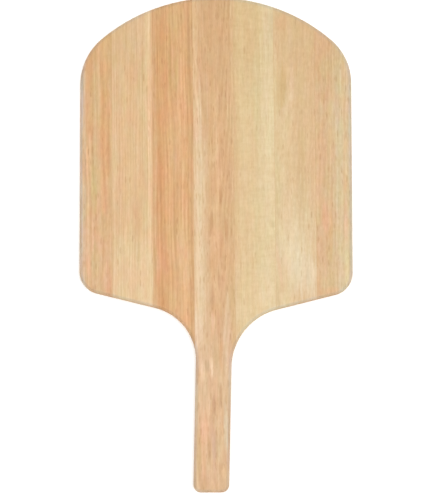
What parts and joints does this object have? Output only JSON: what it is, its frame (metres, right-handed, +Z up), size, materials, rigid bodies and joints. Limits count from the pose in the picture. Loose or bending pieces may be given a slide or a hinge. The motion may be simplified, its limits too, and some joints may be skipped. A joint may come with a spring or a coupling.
{
  "type": "pizza peel",
  "caption": "Flat wooden pizza peel of edge-glued staves, with a domed front edge, sloping shoulders and a short straight handle; it slides pizza into an oven and out again.",
  "frame": {"origin": "centre of the board's length and width, on its flat underside", "axes": "+Y from the handle to the domed front edge, +Z up out of the top face, +X to the right with the front edge ahead"},
  "size_m": [0.3064, 0.5588, 0.0159],
  "materials": {
    "straw_wood": "pale straw hardwood, sanded smooth, lightly oiled, satin",
    "pink_wood": "pinkish tan hardwood with short dark pores, sanded smooth, lightly oiled, satin",
    "amber_wood": "warm amber hardwood, sanded smooth, lightly oiled, satin",
    "wood_glue": "cured amber wood glue, sanded flush with the board"
  },
  "bodies": {
    "root": {"left_outer_stave": "pink_wood", "left_middle_stave": "straw_wood", "left_inner_stave": "amber_wood", "handle_stave": "pink_wood", "right_inner_stave": "straw_wood", "right_middle_stave": "straw_wood", "right_outer_stave": "pink_wood", "glue_line_1": "wood_glue", "glue_line_2": "wood_glue", "glue_line_3": "wood_glue", "glue_line_4": "wood_glue", "glue_line_5": "wood_glue", "glue_line_6": "wood_glue"}
  },
  "joints": []
}
